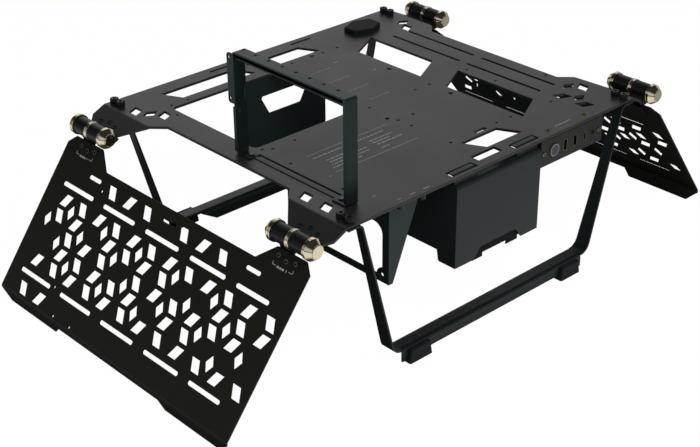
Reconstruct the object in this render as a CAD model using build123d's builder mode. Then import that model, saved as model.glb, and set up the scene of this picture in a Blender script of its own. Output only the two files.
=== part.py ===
# Open air test bench for computer parts: a folded base plate on two strap legs, with a hinged wing
# on each side, a card frame, a power supply cover and cradle, brackets and a front port panel.
# Millimetres. +Z is up, the floor is Z = 0, +X points to the right wing, -Y to the port panel.
import os
from math import cos, radians, sin, sqrt, tan

from build123d import *

os.makedirs("parts", exist_ok=True)

# Heights, sheet thicknesses and clearances
plate_top = 190.0
plate_t = 3.0
plate_under = plate_top - plate_t
wing_t = 1.8
leg_t = 2.0
frame_t = 1.6
cover_t = 1.2
through = 30.0
slip = 0.05
joint_gap = 0.3

# Base plate outline: straight rim, then four ears that slope down at the corners
plate_half_y = 200.0
crease_x = 219.5
rim_x = crease_x - 14.5
rim_half_y = 101.0
ear_angle = 25.0
ear_length = 31.0
ear_inner_y = plate_half_y - 57.5
ear_bend_r = 6.0
ear_corner = 12.0

# Motherboard holes: for each row of the common board standard, its distance and those of its holes
board_x = -167.9
board_y = 143.6
board_rows = {
    0.0: (0.0, 22.86, 177.80, 227.33, 250.19),
    157.48: (0.0, 154.94, 227.33, 250.19),
    203.20: (0.0, 154.94, 177.80),
    223.52: (154.94,),
    281.94: (0.0, 154.94, 227.33, 250.19),
}
board_hole_r = 1.7
spare_holes = ((145.5, -13), (145.5, -59), (145.5, -142.5), (-179, 118), (-158.5, -20), (-128, -20))
guide_holes = ((81.2, 51), (81.2, -48.7), (-18.9, -48.5))
guide_hole_r = 2.8

# Openings in the base plate
cooler_centre = (-99.5, 65.5)
cooler_opening = (145.0, 145.0)
corner_r = 7.0
lean = 13.0
back_openings = ((-158.0, -52.0), (-33.0, 49.0))
back_opening_y = (152.5, 178.0)
front_opening_x = (-6.0, 49.5)
front_opening_y = (-172.0, -146.5)
cable_opening_x = (92.0, 136.5)
cable_openings_y = ((10.0, 116.0), (-147.5, -31.5))
cable_opening_rise = 23.5
drive_slots = ((159.5, 67.5), (184.8, 67.5), (159.5, -58.0), (184.8, -58.0))
drive_slot = (113.5, 4.0)
tie_slots = ((-62.0, plate_half_y - 10.0), (64.0, plate_half_y - 10.0))
tie_slot = (32.0, 3.6)
front_slot = (32.5, -139.0, 18.0, 5.0)
front_window = (-5.0, -182.0, 36.0, 12.0)
hook_x = (-51.0, 44.5)
hook_y = 10.0 - plate_half_y
hook_slot = (38.0, 11.0)
card_slit = (-178.0, -81.5, 137.0, 3.2)

# Rhombus cut-outs, shared by the plate corners and the wings
cell_w = 13.0
cell_h = 13.5
cell_lean = 6.3
diamond_w = 12.8
diamond_h = 20.4
corner_cells = ((-206, 158.5), (-189.5, 127.5), (-205, -125.5), (-205, -155.5), (192, 133.5), (203, -141))
corner_cells_back = ((166.5, -141), (166.5, -173))
corner_diamonds = ((-198.5, 142), (202, 149.5), (194, -127), (176.5, -157))

# Legs, feet and the screws that hold the legs
leg_half_x = crease_x - 20.0
leg_lean = 15.0
leg_rail_z = 18.5
leg_bend_r = 13.0
leg_tab_bend_r = 7.0
leg_outer_y = plate_half_y + 1.2
leg_tab_x = leg_half_x + 18.5
leg_tab_y = leg_outer_y - 27.2
leg_top_y = leg_outer_y - 10.4
leg_bottom_y = leg_outer_y - 18.2
channel_y = leg_outer_y - 20.7
channel_r = 5.0
channel_x = (110.0, 86.5)
channel_z = 2.5
leg_flange_x = 144.0
leg_flange_z = 5.6
leg_flange_end_z = 3.2
foot_x = 121.0
foot_length = 33.0
foot_side_angle = 81.0
foot_out = 5.3
foot_depth = 13.0
foot_h = 16.0
foot_inner_h = 9.6
foot_bevel = 1.2
leg_screw_x = leg_half_x + 10.5
leg_screw_y = (leg_outer_y - 19.7, leg_outer_y - 7.7)
leg_screw_r = 5.0
leg_screw_h = 6.5
leg_screw_shank_r = 2.0

# Hinges: the middle of the screws at each end, the axis, and the pieces along it
hinge_ends = (("front", 34.3 - plate_half_y), ("back", plate_half_y - 31.0))
hinge_x = crease_x + 40.8
hinge_z = plate_top - 8.6
barrel_y = -5.0
knuckle_r = 10.0
knuckle_length = 20.5
ring_r = 10.7
ring_length = 5.0
cap_r = 11.6
cap_length = 11.2
cap_rim = 5.0
cap_nose_r = 8.2
pin_r = 3.0
pin_length = 60.0
leaf_t = 2.5
leaf_width = 23.0
leaf_length = 38.0
hinge_screw_r = 1.5
hinge_screw_head_r = 2.9
hinge_screw_head_t = 0.6
ear_screws = ((20.0, -12.6), (17.0, 0.0), (20.0, 12.6))
wing_screws = ((20.0, -12.3), (22.3, 0.0), (20.0, 12.3))

# Wings: distances down the slope are counted from the hinge axis
wing_angle = 52.0
wing_drop = 10.1
wing_half_y = plate_half_y - 0.6
wing_long_y = wing_half_y + 7.6
wing_taper = 2.1
wing_tab_u = 13.0
wing_tab_y = wing_half_y - 52.4
wing_shoulder_y = wing_tab_y - 21.0
wing_top_u = 32.8
wing_corner = 10.5
wing_crease_u = 199.5
wing_flange = 16.5
wing_flange_angle = 50.0
wing_flange_corner = 13.0
wing_bend_r = 4.0
wing_step_y = 89.0
wing_step = 9.0
fan_slot_u = (65.5, 171.0)
fan_slot_pitch = 76.0
fan_slot = (58.0, 5.0)
short_slots = ((45.3, 136.5), (45.3, 2.3), (45.3, -132.0))
short_slot = (22.5, 4.5)
wing_holes = ((53.0, 118.0), (168.0, 118.0), (195.0, 100.0), (195.0, 69.0))
cell_pitch_y = 31.5
cell_first_y = 164.5
cell_rows = {
    49.2: (2, 3, 4, 6, 7, 8),
    81.6: (0, 1, 2, 3, 4, 5, 6, 7, 8, 9, 10, 11),
    99.7: (0, 1, 3, 4, 5, 6, 9, 10, 11),
    117.8: (1, 2, 3, 5, 6, 7, 8, 9, 10),
    135.9: (1, 2, 3, 4, 5, 7, 8),
    154.0: (0, 1, 2, 3, 4, 5, 6, 7, 8, 9, 10, 11),
    188.5: (0, 1),
}
diamond_rows = {
    90.7: (0.5, 2.5, 4.5, 6.5, 8.5),
    108.8: (-0.5, 1.5, 3.5, 7.5, 9.5),
    126.9: (0.5, 4.5, 6.5, 8.5, 10.5),
    145.0: (1.5, 3.5, 5.5, 9.5),
}

# Card frame on the plate
card_x = (-192.5, -177.3)
card_y = (-170.5, -2.2)
card_top = plate_top + 113.2
card_bend_r = 2.5
card_foot = 21.0
card_rail_x = -184.7
card_rail_w = 5.0
card_channel_h = 7.5
card_hole_x = -181.5
card_hole_first = -6.3
card_hole_pitch = 20.32
card_hole_count = 8
card_hole_r = 1.8
card_ear_y = 7.0
card_ear_z = (plate_top + 55.6, plate_top + 110.6)
card_lip = 4.0
card_foot_screws = ((-185.0, -10.5), (-185.0, -18.0), (-185.0, -155.4))
card_hanging_screws = (-105.0, -135.0, -161.0)

# Brackets under the plate
side_x = -155.0
side_y = (9.0 - plate_half_y, -38.0)
side_h = 91.0
side_rail = 9.3
side_bottom_rail = 7.5
side_top_rail = 25.0
side_flange = 14.0
side_lug = (18.6 - plate_half_y, plate_top - 85.3)
side_lug_r = 7.5
side_lug_hole_r = 2.2
side_corner_r = 12.0
gusset_w = 43.0
gusset_tip = 6.0
side_screws = ((-144.0, 4.0 - plate_half_y), (-114.0, 4.0 - plate_half_y))
panel_y = 140.0
panel_x = (-75.0, 59.0)
panel_h = 90.0
panel_flange = 11.0
panel_screw_x = (-62.0, 44.0)
rail_x = 150.0
rail_y = (-150.0, -27.6)
rail_h = 23.0
rail_flange = 10.0
rail_corner_r = 11.0
rail_hole_z = plate_top - 16.0
rail_hole_y = (-37.8, -84.4)
rail_diamond = (-62.0, 14.0, 10.0)

# Power supply cover and cradle
cover_x = (-68.0, 62.0)
cover_y = (-plate_half_y - 0.5, -96.0)
cover_top = plate_top - 11.0
cover_roll_r = 4.5
cover_bottom = plate_top - 106.3
cover_bend_r = 2.5
cover_step_y = cover_y[0] + 24.5
cover_step = 13.0
cover_lip = 20.0
cover_return = 12.0
notch_x = (-39.5, 36.0)
notch_lean = 10.0
notch_h = 12.3
hook_riser_y = hook_y - hook_slot[1] / 2
hook_end_y = hook_y + 3.0
hook_top = plate_top + 0.2
hook_roll_r = 4.0
hook_width = 33.0
cradle_floor = cover_bottom + cover_step
cradle_wall = 55.0
cradle_low_wall = 18.0
cradle_lip = 12.0
cradle_tabs = ((-31.5, 16.0), (23.0, 18.0))
cradle_tab = 3.5

# Front port panel
port_x = (63.6, 167.0)
port_y = 1.0 - plate_half_y
port_h = 32.0
port_flange = 18.0
port_z = plate_top - 20.0
port_depth = 10.0
button_x = 85.0
button_r = 7.6
button_out = 1.4
button_travel = 1.0
usb_a_x = (103.5, 120.0)
usb_a = (6.2, 13.2)
usb_wall = 0.5
usb_c_x = 136.5
usb_c = (3.8, 9.6)
jack_x = 151.0
jack_r = 3.6
jack_bore_r = 1.8
port_screw_x = (68.5, 161.5)
port_board_x = (76.0, 158.0)
port_board_t = 1.6
rivets = ((85.0, port_y + 10.5), (146.0, port_y + 10.5), (201.5, -87.0))
rivet_r = 1.5
rivet_head_r = 2.4
rivet_head_h = 0.8

# Six-sided puck lying on the plate
puck_xy = (147.2, 167.2)
puck_half_x = 22.6
puck_half_y = 18.8
puck_side_y = 9.6
puck_h = 6.5
puck_corner_r = 3.0
puck_bevel = 1.2

# Sizes that follow from the ones above
ear_cos = cos(radians(ear_angle))
ear_sin = sin(radians(ear_angle))
wing_cos = cos(radians(wing_angle))
wing_sin = sin(radians(wing_angle))
ear_end_x = crease_x + ear_length * ear_cos
ear_end_z = plate_top - ear_length * ear_sin
ear_reach = (hinge_x - crease_x) * ear_cos - (hinge_z - plate_top) * ear_sin
ear_drop = (hinge_x - crease_x) * ear_sin + (hinge_z - plate_top) * ear_cos
notch_y = rim_half_y + crease_x - rim_x
notch_end_x = crease_x + (ear_inner_y - notch_y) * ear_cos
neck_half = ring_length / 2 + knuckle_length


def save(piece, label):
    """Name a finished piece and write its file."""
    piece.part.label = label
    export_step(piece.part, f"parts/{label}.step")


def ear_plane(side, y):
    """Top face of one corner ear: x runs down the slope from the crease, z points out of the sheet."""
    down = (side * ear_cos, 0, -ear_sin)
    return Plane((side * crease_x, y, plate_top), down, (side * ear_sin, 0, ear_cos))


def slope_plane(slope_cos, slope_sin, y):
    """Cross-section of the right hinges at one y: x down the slope, y out of the sheet, facing -Y."""
    return Plane((hinge_x, y, hinge_z), (slope_cos, 0, -slope_sin), (0, -1, 0))


def leaning_opening(x_low, x_high, y_low, y_high):
    """Opening with level front and back edges, its front edge shifted to the right."""
    Polygon((x_low, y_high), (x_high, y_high), (x_high + lean, y_low), (x_low + lean, y_low), align=None)


def cell(direction):
    """Parallelogram about the present location, leaning one way or the other."""
    half = cell_h / 2
    low = (cell_w + direction * cell_lean) / 2
    high = (cell_w - direction * cell_lean) / 2
    Polygon((-half, -low), (-half, high), (half, low), (half, -high), align=None)


def diamond():
    """Diamond about the present location."""
    Polygon((-diamond_h / 2, 0), (0, diamond_w / 2), (diamond_h / 2, 0), (0, -diamond_w / 2), align=None)


def drilled_screws(planes, points, head_r, head_t, shank_r, shank):
    """Round-headed screws, one for each point on each plane: head above the plane, shank below it."""
    with BuildPart() as screws:
        for plane in planes:
            with BuildSketch(plane):
                with Locations(*points):
                    Circle(head_r)
            extrude(amount=head_t)
            with BuildSketch(plane):
                with Locations(*points):
                    Circle(shank_r)
            extrude(amount=-shank)
    return screws


ends = (("front", -1), ("back", 1))
sides = (("left", -1), ("right", 1))
ear_planes = [ear_plane(side, y) for _, side in sides for _, y in hinge_ends]
wing_screw_points = [(u, middle + y) for _, middle in hinge_ends for u, y in wing_screws]
panel_screw_points = [(x, panel_y + panel_flange * 0.6) for x in panel_screw_x]
leg_screw_points = [(sx * leg_screw_x, sy * y) for sx in (-1, 1) for sy in (-1, 1) for y in leg_screw_y]
cover_middle = (cover_x[0] + cover_x[1]) / 2
card_middle_y = (card_y[0] + card_y[1]) / 2

# Base plate: the bent section runs front to back, then the outline and all openings are cut
with BuildPart() as base_plate:
    with BuildSketch(Plane.XZ):
        with BuildLine():
            FilletPolyline(
                (-ear_end_x, ear_end_z),
                (-crease_x, plate_top),
                (crease_x, plate_top),
                (ear_end_x, ear_end_z),
                radius=ear_bend_r,
            )
            offset(amount=plate_t, side=Side.RIGHT)
        make_face()
    extrude(amount=plate_half_y, both=True)
    with BuildSketch(Plane.XY.offset(plate_top + through)):
        Polygon(
            (rim_x, -rim_half_y),
            (crease_x, -notch_y),
            (notch_end_x, -ear_inner_y),
            (hinge_x, -ear_inner_y),
            (hinge_x, ear_inner_y),
            (notch_end_x, ear_inner_y),
            (crease_x, notch_y),
            (rim_x, rim_half_y),
            align=None,
        )
        with Locations((ear_end_x, plate_half_y), (ear_end_x, -plate_half_y)):
            Rectangle(ear_corner * sqrt(2), ear_corner * sqrt(2), rotation=45)
        mirror(about=Plane.YZ)
    extrude(amount=-3 * through, mode=Mode.SUBTRACT)
    with BuildSketch(Plane.XY.offset(plate_top)):
        with Locations(cooler_centre):
            RectangleRounded(*cooler_opening, corner_r)
        for x_low, x_high in back_openings:
            leaning_opening(x_low, x_high, *back_opening_y)
        leaning_opening(*front_opening_x, *front_opening_y)
        for y_low, y_high in cable_openings_y:
            x_low, x_high = cable_opening_x
            rise = cable_opening_rise
            far = ((x_high, y_high + rise), (x_high, y_low + rise))
            Polygon((x_low, y_low), (x_low, y_high), *far, align=None)
        with Locations(*drive_slots):
            SlotOverall(*drive_slot, rotation=90)
        with Locations(*tie_slots):
            SlotOverall(*tie_slot)
        with Locations(front_slot[:2]):
            SlotOverall(*front_slot[2:])
        with Locations(front_window[:2]):
            Rectangle(*front_window[2:])
        with Locations(*[(x, hook_y) for x in hook_x]):
            Rectangle(*hook_slot)
        with Locations(card_slit[:2]):
            SlotOverall(*card_slit[2:], rotation=90)
        for point in corner_cells:
            with Locations(point):
                cell(1)
        for point in corner_cells_back:
            with Locations(point):
                cell(-1)
        with Locations(*corner_diamonds):
            diamond()
        for row, columns in board_rows.items():
            with Locations(*[(board_x + column, board_y - row) for column in columns]):
                Circle(board_hole_r)
        with Locations(*spare_holes):
            Circle(board_hole_r)
        with Locations(*guide_holes):
            Circle(guide_hole_r)
        with Locations(*leg_screw_points):
            Circle(leg_screw_shank_r + slip)
        with Locations(*rivets, *side_screws, *card_foot_screws):
            Circle(rivet_r + slip)
        with Locations(*panel_screw_points):
            Circle(rivet_r + slip)
    extrude(amount=-through / 2, mode=Mode.SUBTRACT)
    for plane in ear_planes:
        with BuildSketch(plane):
            with Locations(*ear_screws):
                Circle(hinge_screw_r + slip)
        extrude(amount=-through / 3, both=True, mode=Mode.SUBTRACT)
save(base_plate, "base_plate")

# Legs: one bent strap each, tapered towards the plate, its rail folded down along both edges
leg_low_x = leg_half_x - (plate_under - leg_rail_z) * tan(radians(leg_lean))
with BuildPart() as front_leg:
    with BuildSketch(Plane.XZ.offset(leg_tab_y)):
        with BuildLine():
            FilletPolyline(
                (-leg_tab_x, plate_under),
                (-leg_half_x, plate_under),
                (-leg_low_x, leg_rail_z),
                (leg_low_x, leg_rail_z),
                (leg_half_x, plate_under),
                (leg_tab_x, plate_under),
                radius=(leg_tab_bend_r, leg_bend_r, leg_bend_r, leg_tab_bend_r),
            )
            offset(amount=leg_t, side=Side.RIGHT)
        make_face()
    extrude(amount=leg_outer_y - leg_tab_y)
    with BuildSketch(Plane.YZ):
        Polygon(
            (-leg_tab_y + 1, plate_under - leg_t - 1),
            (-leg_top_y, plate_under - leg_t - 1),
            (-leg_bottom_y, leg_rail_z),
            (-leg_bottom_y, 0),
            (-leg_tab_y + 1, 0),
            align=None,
        )
    extrude(amount=leg_tab_x + 1, both=True, mode=Mode.SUBTRACT)
    with BuildSketch(Plane.XY):
        with Locations((0, -leg_outer_y)):
            Rectangle(2 * leg_flange_x, leg_outer_y - leg_tab_y, align=(Align.CENTER, Align.MIN))
    extrude(amount=leg_rail_z + 1, mode=Mode.SUBTRACT)
    with BuildSketch(Plane.YZ.offset(-leg_flange_x)):
        with BuildLine():
            FilletPolyline(
                (-leg_outer_y, leg_flange_end_z),
                (-leg_outer_y, leg_rail_z),
                (-channel_y, leg_rail_z),
                (-channel_y, channel_z),
                radius=channel_r,
            )
            offset(amount=leg_t, side=Side.RIGHT)
        make_face()
    extrude(amount=2 * leg_flange_x)
    with BuildSketch(Plane.XZ.offset(leg_outer_y)):
        with Locations((0, leg_flange_z)):
            Rectangle(2 * foot_x, leg_flange_z, align=(Align.CENTER, Align.MAX))
    extrude(amount=-2 * leg_t, mode=Mode.SUBTRACT)
    with BuildSketch(Plane.XZ.offset(channel_y + channel_r)):
        Polygon(
            (channel_x[0], leg_rail_z - leg_t),
            (leg_flange_x + 1, leg_rail_z - leg_t),
            (leg_flange_x + 1, 0),
            (channel_x[1], 0),
            (channel_x[1], channel_z),
            align=None,
        )
        mirror(about=Plane.YZ)
    extrude(amount=-2 * channel_r, mode=Mode.SUBTRACT)
    with BuildSketch(Plane.XY.offset(plate_under)):
        with Locations(*[(x, y) for x, y in leg_screw_points if y < 0]):
            Circle(leg_screw_shank_r + slip)
    extrude(amount=-2 * leg_t, mode=Mode.SUBTRACT)
save(front_leg, "front_leg")
with BuildPart() as back_leg:
    mirror(front_leg.part, about=Plane.XZ)
save(back_leg, "back_leg")

# Rubber feet: a tapered block with a groove that takes the leg's outer flange
with BuildPart() as front_foot:
    with BuildSketch(Plane.XZ.offset(leg_outer_y + foot_out)):
        with Locations((foot_x, 0)):
            Trapezoid(foot_length, foot_h, foot_side_angle, align=(Align.CENTER, Align.MIN))
    extrude(amount=-foot_depth)
    with BuildSketch(Plane.YZ.offset(foot_x)):
        with Locations((-leg_outer_y, leg_flange_end_z)):
            Rectangle(leg_t, foot_h, align=Align.MIN)
        with Locations((-leg_outer_y, foot_inner_h)):
            Rectangle(foot_depth, foot_h, align=Align.MIN)
    extrude(amount=foot_length, both=True, mode=Mode.SUBTRACT)
    chamfer(front_foot.edges().group_by(Axis.Y)[0].sort_by(Axis.Z)[1:], foot_bevel)
for side_name, side in sides:
    for end_name, end in ends:
        with BuildPart() as foot:
            add(front_foot.part)
            if side < 0:
                mirror(about=Plane.YZ, mode=Mode.REPLACE)
            if end > 0:
                mirror(about=Plane.XZ, mode=Mode.REPLACE)
        save(foot, f"foot_{side_name}_{end_name}")

# Screws that hold the legs: bevelled heads with a cross recess
with BuildPart() as leg_screws:
    with BuildSketch(Plane.XY.offset(plate_top)):
        with Locations(*leg_screw_points):
            Circle(leg_screw_r)
    extrude(amount=leg_screw_h)
    chamfer(leg_screws.edges().group_by(Axis.Z)[-1], 0.8)
    with BuildSketch(Plane.XY.offset(plate_top + leg_screw_h)):
        with Locations(*leg_screw_points):
            Rectangle(leg_screw_r, 1.2)
            Rectangle(1.2, leg_screw_r)
    extrude(amount=-1.5, mode=Mode.SUBTRACT)
    with BuildSketch(Plane.XY.offset(plate_top)):
        with Locations(*leg_screw_points):
            Circle(leg_screw_shank_r)
    extrude(amount=-plate_t - leg_t - 1)
save(leg_screws, "leg_screws")

# Wings: the bent section runs front to back, then outline, flange ends and perforation are cut. One
# end of each wing is longer and tapers: the front end on the right, the back end on the left
hinge_slope = Plane((hinge_x, 0, hinge_z), (wing_cos, 0, -wing_sin), (wing_sin, 0, wing_cos))
wing_plane = hinge_slope.offset(-wing_drop)
flange_cos = cos(radians(wing_angle + wing_flange_angle))
flange_sin = sin(radians(wing_angle + wing_flange_angle))
flange_origin = wing_plane.from_local_coords((wing_crease_u, 0, 0))
flange_plane = Plane(flange_origin, (flange_cos, 0, -flange_sin), (flange_sin, 0, flange_cos))
wing_low_u = wing_crease_u + wing_flange
wing_short_y = wing_long_y - (wing_low_u - wing_tab_u) * tan(radians(wing_taper))


def wing(long_end):
    """One wing on the right side, its longer end at the front (-1) or at the back (1)."""
    with BuildPart() as sheet:
        with BuildSketch(slope_plane(wing_cos, wing_sin, -long_end * wing_half_y)):
            with BuildLine():
                FilletPolyline(
                    (wing_tab_u, -wing_drop),
                    (wing_crease_u, -wing_drop),
                    (
                        wing_crease_u + wing_flange * cos(radians(wing_flange_angle)),
                        -wing_drop - wing_flange * sin(radians(wing_flange_angle)),
                    ),
                    radius=wing_bend_r,
                )
                offset(amount=wing_t, side=Side.RIGHT)
            make_face()
        extrude(amount=-long_end * (wing_half_y + wing_long_y))
        with BuildSketch(wing_plane):
            Polygon(
                (wing_tab_u, long_end * wing_long_y),
                (wing_low_u, long_end * wing_long_y),
                (wing_low_u, long_end * wing_short_y),
                align=None,
            )
        extrude(amount=through, both=True, mode=Mode.SUBTRACT)
        with BuildSketch(wing_plane):
            Polygon(
                (0, -wing_tab_y),
                (wing_tab_u, -wing_tab_y),
                (wing_top_u, -wing_shoulder_y),
                (wing_top_u, wing_shoulder_y),
                (wing_tab_u, wing_tab_y),
                (0, wing_tab_y),
                align=None,
            )
            with Locations((wing_tab_u, -long_end * wing_half_y), (wing_tab_u, long_end * wing_long_y)):
                Rectangle(wing_corner * sqrt(2), wing_corner * sqrt(2), rotation=45)
            with Locations(*[(u, y * fan_slot_pitch + 1.5) for u in fan_slot_u for y in (-1, 0, 1, 2)]):
                SlotOverall(*fan_slot, rotation=90)
            with Locations(*[(u, -1.9 * fan_slot_pitch) for u in fan_slot_u]):
                SlotOverall(fan_slot[0] - 8, fan_slot[1], rotation=90)
            with Locations(*short_slots):
                SlotOverall(*short_slot, rotation=90)
            with Locations(*wing_holes):
                Circle(board_hole_r)
            for number, (u, columns) in enumerate(cell_rows.items()):
                for column in columns:
                    with Locations((u, cell_first_y - cell_pitch_y * column)):
                        cell(1 if (number + column) % 2 else -1)
            for u, columns in diamond_rows.items():
                with Locations(*[(u, cell_first_y - cell_pitch_y * column) for column in columns]):
                    diamond()
            with Locations(*wing_screw_points):
                Circle(hinge_screw_r + slip)
        extrude(amount=-2 * wing_t, both=True, mode=Mode.SUBTRACT)
        with BuildSketch(flange_plane):
            Polygon(
                (wing_flange - wing_step, -wing_step_y),
                (wing_flange - wing_step, wing_step_y),
                (wing_flange, wing_step_y + wing_step),
                (wing_flange + 1, wing_step_y + wing_step),
                (wing_flange + 1, -wing_step_y - wing_step),
                (wing_flange, -wing_step_y - wing_step),
                align=None,
            )
            with Locations((wing_flange, -long_end * wing_half_y), (wing_flange, long_end * wing_short_y)):
                Rectangle(wing_flange_corner * sqrt(2), wing_flange_corner * sqrt(2), rotation=45)
        extrude(amount=-2 * wing_t, both=True, mode=Mode.SUBTRACT)
    return sheet


right_wing = wing(-1)
save(right_wing, "right_wing")
left_sheet = wing(1)
with BuildPart() as left_wing:
    mirror(left_sheet.part, about=Plane.YZ)
save(left_wing, "left_wing")

# Hinge pieces, drawn on the right with their screws about Y = 0: two leaves whose knuckles share one
# pin, a ring between the knuckles and two caps
ear_under = -ear_drop - plate_t
leaf_edge = ear_length - ear_reach
with BuildPart() as plate_leaf:
    with BuildSketch(slope_plane(ear_cos, ear_sin, barrel_y - ring_length / 2)):
        Circle(knuckle_r)
        Polygon(
            (leaf_edge - 3, ear_under),
            (leaf_edge - 3, ear_under - leaf_t),
            (-knuckle_r * 0.4, ear_under - leaf_t),
            (knuckle_r * 0.6, -knuckle_r * 0.8),
            (-knuckle_r * 0.8, -knuckle_r * 0.6),
            (leaf_edge + joint_gap, ear_under),
            align=None,
        )
    extrude(amount=knuckle_length)
    with BuildSketch(slope_plane(ear_cos, ear_sin, leaf_length / 2)):
        with Locations((leaf_edge, ear_under)):
            Rectangle(leaf_width, leaf_t, align=(Align.MAX, Align.MAX))
    extrude(amount=leaf_length)
    with BuildSketch(slope_plane(ear_cos, ear_sin, barrel_y)):
        Circle(pin_r + slip)
    extrude(amount=pin_length, mode=Mode.SUBTRACT)
    with BuildSketch(ear_plane(1, 0)):
        with Locations(*ear_screws):
            Circle(hinge_screw_r + slip)
    extrude(amount=-through / 2, mode=Mode.SUBTRACT)
wing_under = -wing_drop - wing_t
with BuildPart() as wing_leaf:
    with BuildSketch(slope_plane(wing_cos, wing_sin, barrel_y + neck_half - joint_gap)):
        Circle(knuckle_r)
        Polygon(
            (wing_tab_u + 3, wing_under),
            (wing_tab_u + 3, wing_under - leaf_t),
            (knuckle_r * 0.4, wing_under - leaf_t),
            (-knuckle_r * 0.6, -knuckle_r * 0.8),
            (knuckle_r * 0.8, -knuckle_r * 0.6),
            (wing_tab_u - joint_gap, wing_under),
            align=None,
        )
    extrude(amount=knuckle_length - 2 * joint_gap)
    with BuildSketch(slope_plane(wing_cos, wing_sin, leaf_length / 2)):
        with Locations((wing_tab_u, wing_under)):
            Rectangle(leaf_width, leaf_t, align=(Align.MIN, Align.MAX))
    extrude(amount=leaf_length)
    with BuildSketch(slope_plane(wing_cos, wing_sin, barrel_y)):
        Circle(pin_r + slip)
    extrude(amount=-pin_length, mode=Mode.SUBTRACT)
    with BuildSketch(wing_plane):
        with Locations(*wing_screws):
            Circle(hinge_screw_r + slip)
    extrude(amount=-through / 2, mode=Mode.SUBTRACT)
hinge_line = Plane((hinge_x, barrel_y, hinge_z), (1, 0, 0), (0, -1, 0))
with BuildPart() as hinge_pin:
    with BuildSketch(hinge_line):
        Circle(pin_r)
    extrude(amount=pin_length / 2, both=True)
with BuildPart() as hinge_ring:
    with BuildSketch(hinge_line):
        Circle(ring_r)
        Circle(pin_r + slip, mode=Mode.SUBTRACT)
    extrude(amount=ring_length / 2, both=True)
    chamfer(hinge_ring.edges().filter_by(GeomType.CIRCLE).group_by(SortBy.RADIUS)[-1], 0.5)
with BuildPart() as hinge_caps:
    with BuildSketch(Plane((hinge_x, barrel_y, hinge_z), (1, 0, 0), (0, 0, 1))):
        Polygon(
            (0, pin_length / 2),
            (pin_r + slip, pin_length / 2),
            (pin_r + slip, neck_half),
            (cap_r - 0.8, neck_half),
            (cap_r, neck_half + 0.8),
            (cap_r, neck_half + cap_rim),
            (cap_nose_r, neck_half + cap_length - 0.8),
            (cap_nose_r - 0.8, neck_half + cap_length),
            (0, neck_half + cap_length),
            align=None,
        )
    revolve(axis=Axis((hinge_x, barrel_y, hinge_z), (0, 1, 0)))
    mirror(about=Plane.XZ.offset(-barrel_y))
hinge_pieces = {
    "plate_leaf": plate_leaf,
    "wing_leaf": wing_leaf,
    "pin": hinge_pin,
    "ring": hinge_ring,
    "caps": hinge_caps,
}
for side_name, side in sides:
    for end_name, y in hinge_ends:
        for name, piece in hinge_pieces.items():
            with BuildPart() as copy:
                with Locations((0, y, 0)):
                    add(piece.part)
                if side < 0:
                    mirror(about=Plane.YZ, mode=Mode.REPLACE)
            save(copy, f"hinge_{side_name}_{end_name}_{name}")

# Hinge screws
head = (hinge_screw_head_r, hinge_screw_head_t, hinge_screw_r)
ear_screw_set = drilled_screws(ear_planes, ear_screws, *head, plate_t + leaf_t)
save(ear_screw_set, "ear_screws")
right_wing_screws = drilled_screws([wing_plane], wing_screw_points, *head, wing_t + leaf_t)
save(right_wing_screws, "right_wing_screws")
with BuildPart() as left_wing_screws:
    mirror(right_wing_screws.part, about=Plane.YZ)
save(left_wing_screws, "left_wing_screws")

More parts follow.
